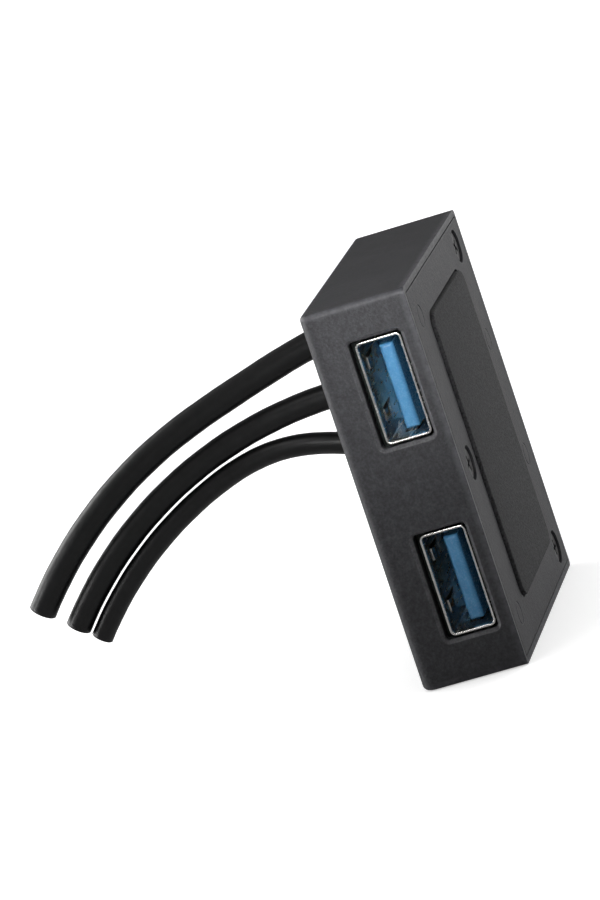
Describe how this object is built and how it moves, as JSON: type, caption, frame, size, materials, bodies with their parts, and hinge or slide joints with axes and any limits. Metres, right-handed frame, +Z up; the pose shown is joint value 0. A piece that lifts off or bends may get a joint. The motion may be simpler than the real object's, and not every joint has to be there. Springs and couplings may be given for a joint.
{
  "type": "usb hub",
  "caption": "Slim block hub for the back of a screen, with upright Type-A ports in its end face and right-angle plugs with cable stubs at the other end.",
  "frame": {"origin": "centre of the mounting pad's outer face", "axes": "+Y is the outward normal of the mounting face, +X points out of the end face with the two Type-A ports, +Z is up, along the ports' long side"},
  "size_m": [0.0595, 0.0744, 0.05],
  "materials": {
    "case_plastic": "fine spark-eroded texture, charcoal",
    "foam_pad": "closed-cell foam, black",
    "black_steel": "black zinc",
    "plated_steel": "nickel plated, satin",
    "circuit_board": "glass-epoxy laminate with black solder mask",
    "blue_plastic": "moulded, light sheen",
    "contact_brass": "gold flashed",
    "chip_plastic": "moulding compound, black",
    "fuse_green": "coated",
    "ferrite": "pressed powder",
    "capacitor_can": "satin can",
    "cable_jacket": "soft black jacket, light sheen"
  },
  "bodies": {
    "hub": {"rear_cover": "case_plastic", "base_plate": "case_plastic", "mounting_pad": "foam_pad", "case_screw_1": "black_steel", "case_screw_2": "black_steel", "case_screw_3": "black_steel", "board_screw_1": "plated_steel", "board_screw_2": "plated_steel", "port_1_shell": "plated_steel", "port_2_shell": "plated_steel", "host_socket_shell": "plated_steel", "device_socket_shell": "plated_steel", "controller_crystal": "plated_steel", "power_jack_pin": "plated_steel", "main_board": "circuit_board", "port_1_insulator": "blue_plastic", "port_2_insulator": "blue_plastic", "port_1_contact_1": "contact_brass", "port_1_contact_2": "contact_brass", "port_1_contact_3": "contact_brass", "port_1_contact_4": "contact_brass", "port_2_contact_1": "contact_brass", "port_2_contact_2": "contact_brass", "port_2_contact_3": "contact_brass", "port_2_contact_4": "contact_brass", "port_1_ss_contact_1": "contact_brass", "port_1_ss_contact_2": "contact_brass", "port_1_ss_contact_3": "contact_brass", "port_1_ss_contact_4": "contact_brass", "port_1_ss_contact_5": "contact_brass", "port_2_ss_contact_1": "contact_brass", "port_2_ss_contact_2": "contact_brass", "port_2_ss_contact_3": "contact_brass", "port_2_ss_contact_4": "contact_brass", "port_2_ss_contact_5": "contact_brass", "hub_controller": "chip_plastic", "voltage_regulator": "chip_plastic", "port_1_esd_array": "chip_plastic", "port_2_esd_array": "chip_plastic", "power_jack": "chip_plastic", "host_socket_tongue": "chip_plastic", "device_socket_tongue": "chip_plastic", "port_1_fuse": "fuse_green", "port_2_fuse": "fuse_green", "power_inductor": "ferrite", "port_1_capacitor": "capacitor_can", "port_2_capacitor": "capacitor_can"},
    "host_plug": {"host_plug_shell": "plated_steel", "host_plug_overmould": "cable_jacket", "host_cable": "cable_jacket"},
    "device_plug": {"device_plug_shell": "plated_steel", "device_plug_overmould": "cable_jacket", "device_cable": "cable_jacket"},
    "power_plug": {"power_plug_barrel": "plated_steel", "power_plug_overmould": "cable_jacket", "power_cable": "cable_jacket"}
  },
  "joints": [
    {"name": "host_plug_pull", "type": "slide", "parent": "hub", "child": "host_plug", "axis": [-1, 0, 0], "range_m": [0, 0.0068]},
    {"name": "device_plug_pull", "type": "slide", "parent": "hub", "child": "device_plug", "axis": [-1, 0, 0], "range_m": [0, 0.0068]},
    {"name": "power_plug_pull", "type": "slide", "parent": "hub", "child": "power_plug", "axis": [-1, 0, 0], "range_m": [0, 0.0096]}
  ]
}
